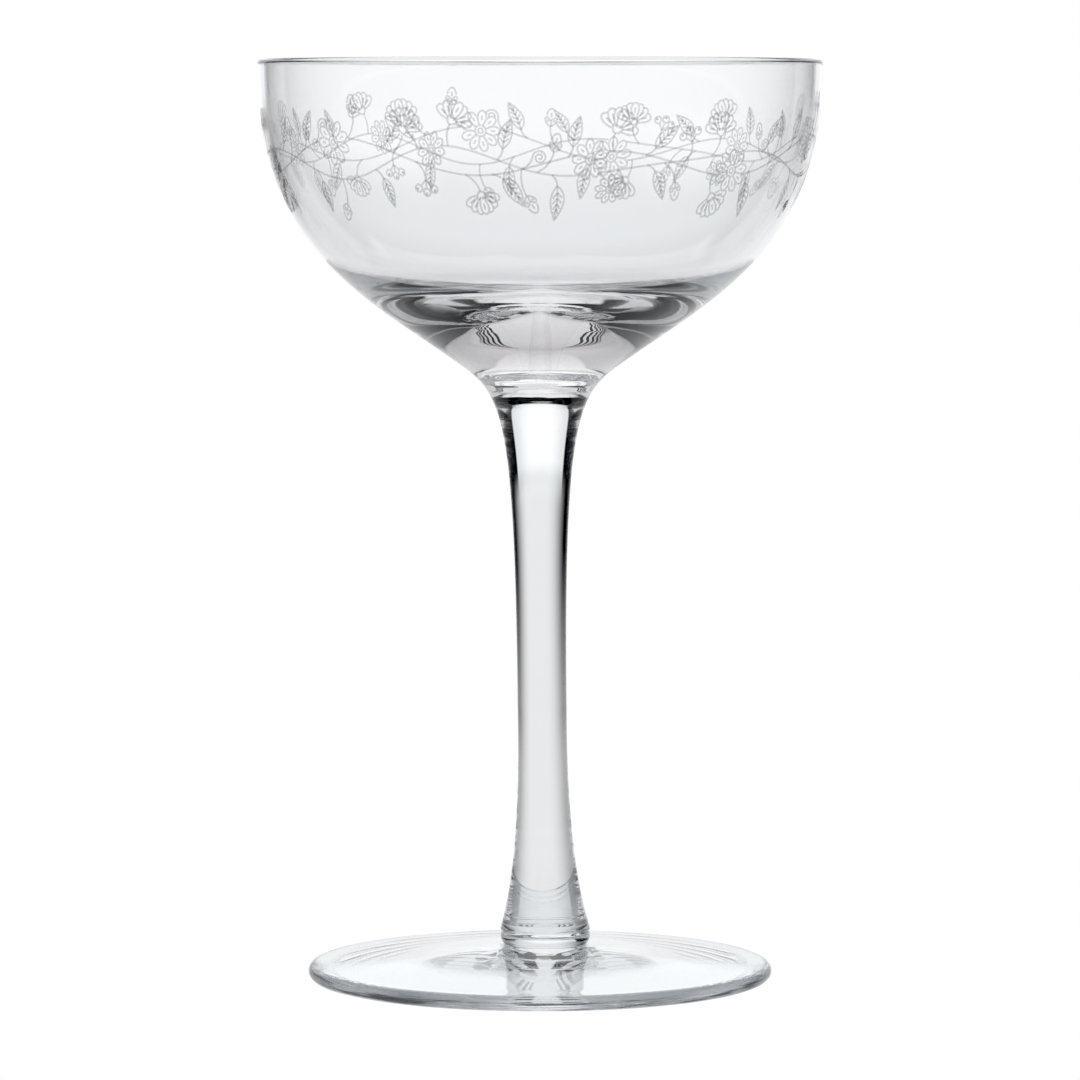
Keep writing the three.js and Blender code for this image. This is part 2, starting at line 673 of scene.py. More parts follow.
@dataclass(kw_only=True)
class Bowl(TurnedPiece):
    """The blown bowl: a thin wall, a rounded lip and a heavy base."""

    neck: Neck
    rim_thickness: float = 1.3 * MM
    base_thickness: float = 13.4 * MM
    outside_run: float = 30.3 * MM
    shoulder_run: float = 19.7 * MM
    knee_rise: float = 22.0 * MM
    knee_thickness: float = 1.4 * MM
    knee_run: float = 11.0 * MM
    floor_run: float = 22.0 * MM
    wall_shrink: float = 0.97
    dish_depth: float = 0.4 * MM
    dish_radius: float = 8.5 * MM
    pool_swell: float = 0.008 * MM
    pool_wave: float = 5.0 * MM
    pool_radius: float = 14.0 * MM
    floor_swell: float = 0.3 * MM
    floor_wave: float = 10.0 * MM
    floor_reach: float = 30.0 * MM
    floor_fade: float = 0.3
    floor_facing: float = 0.05
    lip_widths: float = 2.0
    swirl_turn: float = 1.3
    fine_share: float = 0.12
    fine_turn: float = 2.0
    fine_seed: float = 5.0
    fine_wave: float = 2.2
    neck_steps: int = 20
    outside_steps: int = 150
    lip_steps: int = 16
    wall_steps: int = 130
    floor_steps: int = 80

    def waver(self, spot: Vector, normal: Vector) -> float:
        """Adds the dish of the floor and the swirl of the blown glass round it to the rings at the joint.

        Args:
            spot: Point of the true form.
            normal: Outward direction there.

        Returns:
            The distance along the normal, in metres.
        """
        total = super().waver(spot, normal)
        lip = self.levels.rim_top - self.lip_widths * self.rim_thickness
        if normal.z < self.floor_facing or spot.z > lip:
            return total
        radius = math.hypot(spot.x, spot.y)
        turn = math.atan2(spot.x, spot.y)
        aside = Vector((self.swirl_turn * math.sin(turn), self.swirl_turn * math.cos(turn), 0.0))
        swirl = noise.noise(aside + Vector((0.0, 0.0, radius / self.floor_wave)))
        fine = Vector((0.0, self.fine_seed, self.fine_wave * radius / self.floor_wave))
        swirl += self.fine_share * noise.noise(self.fine_turn * aside + fine)
        fade = held((self.floor_reach - radius) / (self.floor_fade * self.floor_reach))
        start = held(radius / self.pool_radius - 1.0)
        pool = noise.noise(Vector((spot.x, spot.y, 0.0)) / self.pool_wave)
        dish = math.exp(-((radius / self.dish_radius) ** 2))
        total += self.floor_swell * swirl * fade * start + self.pool_swell * pool * (1.0 - start)
        return total - self.dish_depth * dish

    def joint_levels(self) -> tuple[float, ...]:
        """The bowl is fused to the stem only."""
        return (self.levels.bowl_joint,)

    def outline(self) -> Outline:
        """The outline from the joint, up the outside, over the lip and down to the floor.

        Returns:
            The points of the outline.
        """
        neck_line = self.neck.line()
        joint = neck_line.parameter_at(self.levels.bowl_joint)
        lip_radius = self.rim_thickness / 2.0
        lip_level = self.levels.rim_top - lip_radius
        rim = self.levels.rim_radius
        floor = self.levels.bowl_joint + self.base_thickness
        shoulder = self.neck.shoulder
        outside = Sweep(
            shoulder,
            along(shoulder, self.neck.shoulder_slope, self.shoulder_run),
            place(rim, lip_level - self.outside_run),
            place(rim, lip_level),
        )
        at_knee = outside.parameter_at(self.levels.bowl_joint + self.knee_rise)
        pace = outside.pace(at_knee)
        rise = pace.normalized()
        knee = outside.at(at_knee) + self.knee_thickness * place(-rise.y, rise.x)
        lip = place(rim - self.rim_thickness, lip_level)
        share = self.wall_shrink * (1.0 - at_knee)
        wall = Sweep(lip, lip - place(0.0, share * self.outside_run), knee + share / 3.0 * pace, knee)
        base = Sweep(knee, knee - self.knee_run * rise, place(self.floor_run, floor), place(0.0, floor))
        return [
            place(0.0, self.levels.bowl_joint),
            *neck_line.points(self.neck_steps, joint, 0.0),
            *outside.points(self.outside_steps)[1:],
            *half_round(place(rim - lip_radius, lip_level), lip_radius, 0.0, self.lip_steps)[1:],
            *wall.points(self.wall_steps)[1:],
            *base.points(self.floor_steps)[1:],
        ]


@dataclass(kw_only=True)
class Stem(TurnedPiece):
    """The drawn stem, between the two fused joints, with a rounded edge at its base."""

    neck: Neck
    joint_radius: float = 7.4 * MM
    base_radius: float = 7.6 * MM
    base_rise: float = 0.4 * MM
    base_round: Span = (0.7, 0.6)
    base_slope: float = 72.5
    base_run: float = 13.0 * MM
    waist_run: float = 4.0 * MM
    base_offset: float = 0.9 * MM
    offset_power: float = 1.7
    base_steps: int = 10
    flare_steps: int = 70
    taper_steps: int = 110

    def lean(self, spot: Vector) -> float:
        """The drawn stem stands a little to the right of the foot's centre and runs true at the bowl."""
        share = (self.levels.bowl_joint - spot.z) / (self.levels.bowl_joint - self.levels.foot_joint)
        return self.base_offset * max(share, 0.0) ** self.offset_power

    def joint_levels(self) -> tuple[float, ...]:
        """The stem is fused to the foot and to the bowl."""
        return (self.levels.foot_joint, self.levels.bowl_joint)

    def outline(self) -> Outline:
        """The outline from the lower joint up to the upper one.

        Returns:
            The points of the outline.
        """
        neck_line = self.neck.line()
        upper = neck_line.parameter_at(self.levels.bowl_joint)
        joint = place(self.joint_radius, self.levels.foot_joint)
        base = place(self.base_radius, self.levels.foot_joint + self.base_rise)
        waist = self.neck.waist
        inner, outer = self.base_round
        edge = Sweep(
            joint,
            joint.lerp(place(base.x, joint.y), inner),
            along(base, 180.0 - self.base_slope, -outer * self.base_rise),
            base,
        )
        flare = Sweep(
            base,
            along(base, 180.0 - self.base_slope, self.base_run),
            place(waist.x, waist.y - self.waist_run),
            waist,
        )
        return [
            place(0.0, self.levels.foot_joint),
            *edge.points(self.base_steps),
            *flare.points(self.flare_steps)[1:],
            *neck_line.points(self.taper_steps, 1.0, upper)[1:],
            place(0.0, self.levels.bowl_joint),
        ]


@dataclass(kw_only=True)
class Foot(TurnedPiece):
    """The pressed foot: a disc with a rounded edge, a collar and a hollow underside."""

    stem: Stem
    edge_thickness: float = 2.7 * MM
    collar_bulge: float = 0.3 * MM
    groove_radius: float = 6.95 * MM
    groove_height: float = 5.85 * MM
    hub_radius: float = 10.2 * MM
    hub_height: float = 5.2 * MM
    hub_slope: float = 8.0
    hub_run: float = 1.5 * MM
    fillet_slope: float = 28.0
    fillet_run: float = 0.9 * MM
    edge_slope: float = 2.5
    edge_run: float = 9.0 * MM
    top_slope: float = 7.6
    top_run: float = 12.0 * MM
    rest_width: float = 2.4 * MM
    underside_hollow: float = 2.5 * MM
    underside_reach: float = 12.0 * MM
    underside_slope: float = 6.0
    underside_run: float = 10.0 * MM
    edge_swell: float = 0.07 * MM
    edge_wave: float = 9.0 * MM
    edge_step: float = 0.6 * MM
    edge_widths: float = 2.0
    underside_steps: int = 40
    edge_steps: int = 24
    top_steps: int = 80
    hub_steps: int = 60
    collar_steps: int = 16

    def waver(self, spot: Vector, normal: Vector) -> float:
        """Adds the shallow drag lines of the edge to the rings at the joint.

        Args:
            spot: Point of the true form.
            normal: Outward direction there.

        Returns:
            The distance along the normal, in metres.
        """
        total = super().waver(spot, normal)
        away = self.levels.foot_radius - math.hypot(spot.x, spot.y)
        share = held(self.edge_widths - away / self.edge_thickness)
        stretch = (self.edge_wave, self.edge_wave, self.edge_step)
        grain = noise.noise(Vector([at / wave for at, wave in zip(spot, stretch)]))
        return total - self.edge_swell * share * (1.0 + grain) / 2.0

    def lean(self, spot: Vector) -> float:
        """The collar stands under the stem, and the disc round it stays true.

        Args:
            spot: Point of the true form.

        Returns:
            How far it is off the axis to the right, in metres.
        """
        if spot.z < self.edge_thickness:
            return 0.0
        away = math.hypot(spot.x, spot.y) - self.stem.base_radius
        share = held(1.0 - away / (self.hub_radius - self.stem.base_radius))
        return self.stem.base_offset * share * share * (3.0 - 2.0 * share)

    def joint_levels(self) -> tuple[float, ...]:
        """The foot is fused to the stem only."""
        return (self.levels.foot_joint,)

    def outline(self) -> Outline:
        """The outline from the underside round the edge and up the collar.

        Returns:
            The points of the outline.
        """
        edge_radius = self.edge_thickness / 2.0
        edge_centre = place(self.levels.foot_radius - edge_radius, edge_radius)
        joint = place(self.stem.joint_radius, self.levels.foot_joint)
        rest = place(edge_centre.x - self.rest_width, 0.0)
        underside = Sweep(
            place(0.0, self.underside_hollow),
            place(self.underside_reach, self.underside_hollow),
            along(rest, 180.0 - self.underside_slope, self.underside_run),
            rest,
        )
        edge_top = place(edge_centre.x, self.edge_thickness)
        hub_edge = place(self.hub_radius, self.hub_height)
        top = Sweep(
            edge_top,
            along(edge_top, 180.0 - self.edge_slope, self.edge_run),
            along(hub_edge, -self.top_slope, self.top_run),
            hub_edge,
        )
        groove = place(self.groove_radius, self.groove_height)
        hub = Sweep(
            hub_edge,
            along(hub_edge, 180.0 - self.hub_slope, self.hub_run),
            along(groove, -self.fillet_slope, self.fillet_run),
            groove,
        )
        bead = joint.x + self.collar_bulge
        third = (joint.y - groove.y) / 3.0
        collar = Sweep(groove, place(bead, groove.y + third), place(bead, joint.y - third), joint)
        return [
            *underside.points(self.underside_steps),
            *half_round(edge_centre, edge_radius, -90.0, self.edge_steps),
            *top.points(self.top_steps)[1:],
            *hub.points(self.hub_steps)[1:],
            *collar.points(self.collar_steps)[1:],
            place(0.0, joint.y),
        ]


@dataclass(frozen=True)
class Pen:
    """Where a motif is drawn on the flat band: its foot, its turn from upright, its size and its tilt."""

    at: complex
    turn: float
    size: float = 1.0
    tilt: float = 1.0

    def spot(self, x: float, y: float) -> complex:
        """A point of the motif on the band."""
        return self.at + complex(x, y * self.tilt) * self.size * cmath.exp(1j * math.radians(self.turn))

    def trace(self, path: Path, steps: int) -> Stroke:
        """A stroke on the band along a path, which gives the motif's own point for a share from 0 to 1."""
        return [self.spot(*path(i / steps)) for i in range(steps + 1)]


@dataclass
class Drawing:
    """Line strokes on the flat band, in which a later motif hides what lies behind it."""

    strokes: list[Stroke] = field(default_factory=list)
    shortest: int = 3

    def add(self, *strokes: Stroke) -> None:
        """Adds strokes on top."""
        self.strokes.extend(strokes)

    def cover(self, outline: Stroke) -> None:
        """Rubs out what lies inside an outline, then draws the outline.

        Args:
            outline: Closed stroke.
        """
        middle = sum(outline[1:]) / (len(outline) - 1)
        reach = max(abs(spot - middle) for spot in outline)
        kept: list[Stroke] = []
        for stroke in self.strokes:
            part: Stroke = []
            for spot in stroke:
                if abs(spot - middle) < reach and self.within(spot, outline):
                    kept.append(part)
                    part = []
                else:
                    part.append(spot)
            kept.append(part)
        self.strokes = [part for part in kept if len(part) >= self.shortest]
        self.strokes.append(outline)

    @staticmethod
    def within(spot: complex, outline: Stroke) -> bool:
        """Whether a spot lies inside a closed outline.

        Args:
            spot: Point of the band.
            outline: Closed stroke.

        Returns:
            True if it lies inside.
        """
        inside = False
        for a, b in zip(outline, outline[1:]):
            if (a.imag > spot.imag) != (b.imag > spot.imag):
                cross = a.real + (b.real - a.real) * (spot.imag - a.imag) / (b.imag - a.imag)
                inside ^= spot.real < cross
        return inside


class Motif(Protocol):
    """Anything that can be drawn with a pen."""

    def draw(self, drawing: Drawing, pen: Pen) -> None:
        """Draws the motif."""


def ring(radius: float, x: float = 0.0, y: float = 0.0) -> Path:
    """The path of a circle about a point of the motif."""
    return lambda t: (x + radius * math.cos(math.tau * t), y + radius * math.sin(math.tau * t))


def line(x0: float, y0: float, x1: float, y1: float) -> Path:
    """The path of a straight line between two points of the motif."""
    return lambda t: (x0 + (x1 - x0) * t, y0 + (y1 - y0) * t)


@dataclass(frozen=True)
class Rosette:
    """An open flower with many narrow petals, seen from the front."""

    petals: int = 9
    reach: float = 3.4
    notch: float = 0.6
    roundness: float = 0.75
    gap: float = 0.03
    crease: Span = (0.52, 0.74)
    eye: float = 0.27
    pupil: float = 0.45
    petal_steps: int = 10
    crease_steps: int = 4
    eye_steps: int = 24
    pupil_steps: int = 14

    def rim(self, t: float) -> Span:
        """The scalloped outline.

        Args:
            t: Share of the way round.

        Returns:
            The point of the motif.
        """
        angle = math.tau * t
        lobe = abs(math.cos(self.petals * angle / 2.0)) ** self.roundness
        radius = self.reach * (self.notch + (1.0 - self.notch) * lobe)
        return radius * math.sin(angle), radius * math.cos(angle)

    def draw(self, drawing: Drawing, pen: Pen) -> None:
        """Draws the outline, the gaps between petals, their middles and the eye.

        Args:
            drawing: What it is drawn on.
            pen: Where and how it is drawn.
        """
        drawing.cover(pen.trace(self.rim, self.petals * self.petal_steps))
        for i in range(self.petals):
            between = math.tau * (i + 0.5) / self.petals
            middle = math.tau * i / self.petals
            for angle, first, last in ((between, self.eye + self.gap, self.notch), (middle, *self.crease)):
                x, y = self.reach * math.sin(angle), self.reach * math.cos(angle)
                crease = line(first * x, first * y, last * x, last * y)
                drawing.add(pen.trace(crease, self.crease_steps))
        drawing.cover(pen.trace(ring(self.eye * self.reach), self.eye_steps))
        drawing.add(pen.trace(ring(self.pupil * self.eye * self.reach), self.pupil_steps))


@dataclass(frozen=True)
class Petal:
    """A pointed petal or sepal that stands on its foot."""

    length: float = 3.0
    width: float = 1.1
    fullness: float = 0.4
    crease: Span = (0.45, 0.75)
    rim_steps: int = 26
    crease_steps: int = 4

    def rim(self, t: float) -> Span:
        """Up one side to the tip and down the other.

        Args:
            t: Share of the way round.

        Returns:
            The point of the motif.
        """
        rise = (1.0 - math.cos(math.tau * t)) / 2.0
        swell = math.sin(math.tau * t) * (1.0 - self.fullness + 2.0 * self.fullness * rise)
        return 0.5 * self.width * swell, self.length * rise

    def draw(self, drawing: Drawing, pen: Pen) -> None:
        """Draws the outline and a short crease.

        Args:
            drawing: What it is drawn on.
            pen: Where and how it is drawn.
        """
        first, last = self.crease
        drawing.cover(pen.trace(self.rim, self.rim_steps))
        crease = line(0.0, first * self.length, 0.0, last * self.length)
        drawing.add(pen.trace(crease, self.crease_steps))


@dataclass(frozen=True)
class Profile:
    """A flower seen from the side: a fan of petals in a cup."""

    petal: Petal = Petal(3.7, 1.5, 0.45)
    fan: tuple[float, ...] = (70.0, -70.0, 44.0, -44.0, 20.0, -20.0, 0.0)
    cup: float = 0.85
    cup_level: float = 0.9
    cup_depth: float = 1.25
    scallops: int = 3
    scallop: float = 0.3
    rim_steps: int = 36

    def rim(self, t: float) -> Span:
        """Round the bottom of the cup and back along its scalloped top.

        Args:
            t: Share of the way round.

        Returns:
            The point of the motif.
        """
        angle = math.pi * (1.0 + 2.0 * min(t, 0.5))
        if t < 0.5:
            depth = self.cup_level + self.cup_depth * math.sin(angle)
            return self.cup * math.cos(angle), self.cup * depth
        back = 2.0 * t - 1.0
        edge = self.cup_level + self.scallop * abs(math.sin(self.scallops * math.pi * back))
        return self.cup * (1.0 - 2.0 * back), self.cup * edge

    def draw(self, drawing: Drawing, pen: Pen) -> None:
        """Draws the petals from the outside in, then the cup.

        Args:
            drawing: What it is drawn on.
            pen: Where and how it is drawn.
        """
        for lean in self.fan:
            self.petal.draw(drawing, Pen(pen.spot(0.0, 0.5 * self.cup), pen.turn - lean, pen.size))
        drawing.cover(pen.trace(self.rim, self.rim_steps))


@dataclass(frozen=True)
class Leaf:
    """A pointed leaf with a midrib and side veins."""

    length: float = 5.6
    width: float = 2.3
    bend: float = 0.16
    fullness: float = 0.8
    midrib: float = 0.94
    veins: tuple[float, ...] = (0.2, 0.36, 0.52, 0.66)
    vein_rise: float = 0.15
    vein_reach: float = 0.72
    rim_steps: int = 36
    midrib_steps: int = 14
    vein_steps: int = 4

    def half(self, t: float) -> float:
        """Half the width of the leaf at a share of its length."""
        return 0.5 * self.width * math.sin(math.pi * t ** self.fullness)

    def blade(self, t: float, aside: float) -> Span:
        """A point of the blade at a share of its length, with the leaf's bend."""
        return aside + self.bend * self.length * t * t, self.length * t

    def rim(self, t: float) -> Span:
        """Up one side to the tip and down the other.

        Args:
            t: Share of the way round.

        Returns:
            The point of the motif.
        """
        share = 1.0 - abs(2.0 * t - 1.0)
        side = 1.0 if t < 0.5 else -1.0
        return self.blade(share, side * self.half(share))

    def draw(self, drawing: Drawing, pen: Pen) -> None:
        """Draws the outline, the midrib and the veins.

        Args:
            drawing: What it is drawn on.
            pen: Where and how it is drawn.
        """
        rise, steps = self.vein_rise, self.vein_steps
        drawing.cover(pen.trace(self.rim, self.rim_steps))
        drawing.add(pen.trace(lambda t: self.blade(self.midrib * t, 0.0), self.midrib_steps))
        for start in self.veins:
            for side in (-1.0, 1.0):
                tip = side * self.vein_reach * self.half(start + rise)
                drawing.add(pen.trace(lambda t: self.blade(start + rise * t, tip * t), steps))


@dataclass(frozen=True)
class Bud:
    """A closed bud in two sepals."""

    heart: Petal = Petal(2.9, 1.7, -0.1)
    sepal: Petal = Petal(1.7, 0.8, 0.0)
    spread: tuple[float, ...] = (-32.0, 32.0)
    sink: float = -0.15

    def draw(self, drawing: Drawing, pen: Pen) -> None:
        """Draws the bud, then the sepals in front of it.

        Args:
            drawing: What it is drawn on.
            pen: Where and how it is drawn.
        """
        self.heart.draw(drawing, pen)
        for lean in self.spread:
            self.sepal.draw(drawing, Pen(pen.spot(0.0, self.sink), pen.turn - lean, pen.size))


@dataclass(frozen=True)
class Berries:
    """Three berries on short stalks."""

    radius: float = 0.62
    spread: tuple[float, ...] = (-48.0, 42.0, -4.0)
    reach: float = 2.0
    glint: float = 0.2
    glint_at: Span = (0.1, 0.25)
    stalk_steps: int = 8
    rim_steps: int = 20
    glint_steps: int = 8

    def draw(self, drawing: Drawing, pen: Pen) -> None:
        """Draws each stalk and its berry.

        Args:
            drawing: What it is drawn on.
            pen: Where and how it is drawn.
        """
        aside, above = self.glint_at
        for lean in self.spread:
            side = Pen(pen.at, pen.turn - lean, pen.size)
            glint = ring(self.glint * self.radius, aside, self.reach + above)
            drawing.add(side.trace(line(0.0, 0.0, 0.0, self.reach), self.stalk_steps))
            drawing.cover(side.trace(ring(self.radius, 0.0, self.reach), self.rim_steps))
            drawing.add(side.trace(glint, self.glint_steps))


@dataclass(frozen=True)
class Tendril:
    """A curl that winds in on itself."""

    reach: float = 2.6
    turns: float = 1.9
    tightness: float = 0.86
    steps: int = 56

    def curl(self, t: float) -> Span:
        """A spiral that starts upwards from the foot.

        Args:
            t: Share of its length.

        Returns:
            The point of the motif.
        """
        angle = math.tau * self.turns * t
        radius = 0.5 * self.reach * (1.0 - self.tightness * t)
        return 0.5 * self.reach - radius * math.cos(angle), radius * math.sin(angle)

    def draw(self, drawing: Drawing, pen: Pen) -> None:
        """Draws the curl from its foot to its middle."""
        drawing.add(pen.trace(self.curl, self.steps))


@dataclass(frozen=True)
class Wave:
    """A wave of a vine: its height, its number along the garland and its shift in radians."""

    height: float
    number: float
    shift: float = 0.0


@dataclass(frozen=True)
class Vine:
    """A stalk that winds along the band."""

    level: float
    waves: tuple[Wave, ...]

    def at(self, distance: float, length: float) -> complex:
        """A point of the vine.

        Args:
            distance: Distance along the band.
            length: Length after which the vine repeats.

        Returns:
            The point on the band.
        """
        once = math.tau * distance / length
        heights = [wave.height * math.sin(wave.number * once + wave.shift) for wave in self.waves]
        return complex(distance, sum(heights) + self.level)


@dataclass(frozen=True)
class Sprig:
    """A motif on a curved stalk that leaves one of the vines."""

    motif: Motif
    vine: int
    root: float
    to: complex
    bend: float = 0.2
    size: float = 1.0
    tilt: float = 1.0
    least_steps: int = 6
    step_rate: int = 4

    def stalk(self, root: complex) -> Stroke:
        """The curve from the vine to the motif's foot.

        Args:
            root: Where the stalk leaves the vine.

        Returns:
            The stroke on the band.
        """
        tip, handle = root + self.to, self.handle(root)
        steps = max(self.least_steps, int(self.step_rate * abs(self.to)))
        shares = [i / steps for i in range(steps + 1)]
        return [(1 - t) ** 2 * root + 2 * t * (1 - t) * handle + t * t * tip for t in shares]

    def handle(self, root: complex) -> complex:
        """The handle of the stalk's curve."""
        return root + 0.5 * self.to - 1j * self.bend * self.to


@dataclass(frozen=True)
class Garland:
    """One length of a leafy garland: two vines that wind about each other, with sprigs of flowers."""

    length: float = 96.3
    level: float = 139.5
    vine_steps: int = 260
    vines: tuple[Vine, ...] = (
        Vine(0.0, (Wave(2.5, 2.0), Wave(1.0, 1.0, 0.6))),
        Vine(-0.5, (Wave(-2.1, 2.0, 0.35), Wave(0.9, 3.0, 2.0))),
    )
    rosette: Rosette = Rosette()
    profile: Profile = Profile()
    leaf: Leaf = Leaf()
    bud: Bud = Bud()
    berries: Berries = Berries()
    tendril: Tendril = Tendril()

    def sprigs(self) -> list[Sprig]:
        """What grows on the vines, from the back to the front.

        Returns:
            The sprigs in the order of drawing.
        """
        leaf, bud, flower = self.leaf, self.bud, self.profile
        return [
            Sprig(leaf, 0, 2.0, 1.2 + 1.6j, 0.2, 0.95),
            Sprig(leaf, 1, 4.5, 1.0 - 1.8j, -0.2, 0.9),
            Sprig(self.tendril, 0, 6.0, 1.2 + 2.6j, 0.3, 1.0),
            Sprig(leaf, 0, 20.5, 1.6 + 1.0j, 0.2, 1.0),
            Sprig(leaf, 1, 19.0, 1.3 - 1.4j, -0.2, 0.85),
            Sprig(leaf, 1, 27.5, -0.6 + 1.8j, 0.2, 0.8),
            Sprig(self.berries, 0, 27.0, 1.4 - 3.0j, -0.3, 1.0),
            Sprig(leaf, 0, 40.0, 1.8 - 0.7j, -0.2, 1.0),
            Sprig(leaf, 1, 41.0, 1.0 + 1.8j, 0.2, 0.9),
            Sprig(self.tendril, 1, 45.0, 1.8 + 2.0j, 0.3, 0.9),
            Sprig(leaf, 0, 52.5, 0.8 + 1.7j, 0.2, 0.9),
            Sprig(leaf, 1, 50.0, 0.9 - 1.8j, -0.2, 1.0),
            Sprig(leaf, 0, 65.5, 1.7 + 1.0j, 0.2, 0.95),
            Sprig(leaf, 1, 66.0, 1.5 - 1.0j, -0.2, 0.9),
            Sprig(self.berries, 1, 73.0, 0.8 + 3.0j, 0.3, 1.0),
            Sprig(self.tendril, 1, 61.0, 1.0 - 3.2j, -0.3, 1.0),
            Sprig(leaf, 0, 86.0, 1.3 - 1.5j, -0.2, 1.0),
            Sprig(leaf, 1, 90.0, 1.3 + 1.3j, 0.2, 0.85),
            Sprig(bud, 0, 14.0, 1.6 + 4.2j, 0.25, 1.0),
            Sprig(flower, 0, 23.0, 2.2 + 3.4j, 0.2, 0.95),
            Sprig(bud, 1, 11.0, -0.8 - 4.4j, -0.2, 0.95),
            Sprig(flower, 1, 33.0, 0.6 + 3.8j, -0.2, 0.9),
            Sprig(flower, 0, 35.5, 2.4 - 3.0j, -0.25, 0.85),
            Sprig(bud, 1, 47.5, 2.8 + 3.6j, 0.25, 0.95),
            Sprig(bud, 0, 45.0, 0.9 - 4.6j, 0.2, 1.0),
            Sprig(flower, 0, 60.0, 0.2 + 3.2j, -0.2, 0.95),
            Sprig(bud, 1, 69.0, 2.6 - 3.4j, -0.25, 0.95),
            Sprig(flower, 1, 78.0, 1.4 + 3.6j, 0.25, 0.9),
            Sprig(flower, 0, 79.0, 0.6 - 3.4j, 0.2, 0.9),
            Sprig(bud, 0, 92.5, 1.8 + 4.6j, 0.25, 1.0),
            Sprig(self.rosette, 0, 9.5, 1.0 - 0.6j, 0.1, 1.1, 0.95),
            Sprig(self.rosette, 1, 29.0, 1.0 - 0.4j, 0.1, 0.9, 0.75),
            Sprig(self.rosette, 0, 55.0, 1.2 - 0.8j, 0.1, 1.0, 0.85),
            Sprig(self.rosette, 1, 57.5, 2.4 - 2.6j, -0.2, 0.8, 0.8),
            Sprig(self.rosette, 0, 82.0, 1.0 + 0.8j, 0.1, 1.1, 0.9),
        ]

    def drawn(self) -> Drawing:
        """The whole length, as strokes about the level line.

        Returns:
            The drawing.
        """
        drawing = Drawing()
        steps = self.vine_steps
        for vine in self.vines:
            drawing.add([vine.at(self.length * i / steps, self.length) for i in range(steps + 1)])
        for sprig in self.sprigs():
            root = self.vines[sprig.vine].at(sprig.root, self.length)
            tip = root + sprig.to
            drawing.add(sprig.stalk(root))
            turn = math.degrees(cmath.phase(tip - sprig.handle(root))) - 90.0
            sprig.motif.draw(drawing, Pen(tip, turn, sprig.size, sprig.tilt))
        return drawing


